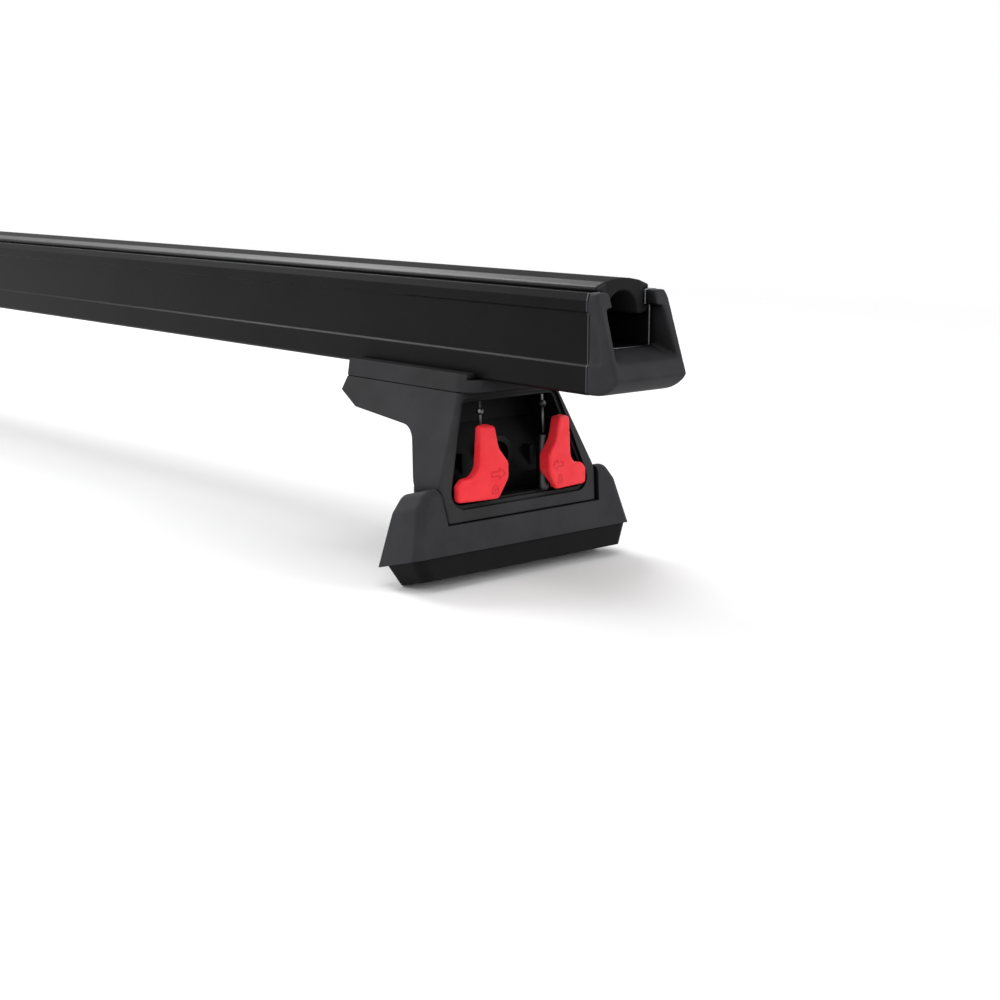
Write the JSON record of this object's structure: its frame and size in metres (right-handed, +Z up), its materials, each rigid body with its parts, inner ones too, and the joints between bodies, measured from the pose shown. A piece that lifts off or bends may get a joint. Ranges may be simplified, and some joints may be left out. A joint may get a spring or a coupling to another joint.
{
  "type": "roof rack crossbar",
  "caption": "Black aluminium roof rack crossbar with a rubber top strip and end caps, on clamped legs whose open fronts show red quick-release levers.",
  "frame": {"origin": "on the floor under the middle of the bar", "axes": "+X along the bar, +Y across it, +Z up"},
  "size_m": [1.3746, 0.1232, 0.13],
  "materials": {
    "powder_coated_aluminium": "matt black powder coat",
    "black_rubber": "matt extruded rubber",
    "end_cap_plastic": "fine moulded grain",
    "leg_plastic": "fine moulded grain",
    "seat_plastic": "fine moulded grain",
    "skirt_plastic": "fine moulded grain",
    "pad_rubber": "matt moulded rubber",
    "zinc_steel": "zinc plated",
    "tether_steel": "stranded dark wire",
    "black_steel": "black oxide",
    "stainless_steel": "turned stainless",
    "red_plastic": "satin moulded",
    "stud_steel": "turned, blackened"
  },
  "bodies": {
    "bar": {"crossbar": "powder_coated_aluminium", "rubber_strip": "black_rubber", "right_end_cap": "end_cap_plastic", "left_end_cap": "end_cap_plastic"},
    "right_leg": {"right_housing": "leg_plastic", "right_bar_seat": "seat_plastic", "right_base_skirt": "skirt_plastic", "right_base_pad": "pad_rubber", "right_strike_plate": "zinc_steel", "right_tether_wires": "tether_steel", "right_clamp_screws": "black_steel", "right_clamp_washers": "stainless_steel", "right_channel_nuts": "zinc_steel"},
    "right_front_lever_body": {"right_front_lever": "red_plastic", "right_front_stud": "stud_steel"},
    "right_rear_lever_body": {"right_rear_lever": "red_plastic", "right_rear_stud": "stud_steel"},
    "left_leg": {"left_housing": "leg_plastic", "left_bar_seat": "seat_plastic", "left_base_skirt": "skirt_plastic", "left_base_pad": "pad_rubber", "left_strike_plate": "zinc_steel", "left_tether_wires": "tether_steel", "left_clamp_screws": "black_steel", "left_clamp_washers": "stainless_steel", "left_channel_nuts": "zinc_steel"},
    "left_front_lever_body": {"left_front_lever": "red_plastic", "left_front_stud": "stud_steel"},
    "left_rear_lever_body": {"left_rear_lever": "red_plastic", "left_rear_stud": "stud_steel"}
  },
  "joints": [
    {"name": "right_leg_slide", "type": "slide", "parent": "bar", "child": "right_leg", "axis": [1, 0, 0], "range_m": [-0.2, 0.03]},
    {"name": "right_front_lever_hinge", "type": "hinge", "parent": "right_leg", "child": "right_front_lever_body", "pos_m": [0.604, -0.0177, 0.045], "axis": [0, 0, 1], "range_deg": [0, 90]},
    {"name": "right_rear_lever_hinge", "type": "hinge", "parent": "right_leg", "child": "right_rear_lever_body", "pos_m": [0.604, 0.0177, 0.045], "axis": [0, 0, -1], "range_deg": [0, 90]},
    {"name": "left_leg_slide", "type": "slide", "parent": "bar", "child": "left_leg", "axis": [-1, 0, 0], "range_m": [-0.2, 0.03]},
    {"name": "left_front_lever_hinge", "type": "hinge", "parent": "left_leg", "child": "left_front_lever_body", "pos_m": [-0.604, -0.0177, 0.045], "axis": [0, 0, -1], "range_deg": [0, 90]},
    {"name": "left_rear_lever_hinge", "type": "hinge", "parent": "left_leg", "child": "left_rear_lever_body", "pos_m": [-0.604, 0.0177, 0.045], "axis": [0, 0, 1], "range_deg": [0, 90]}
  ]
}
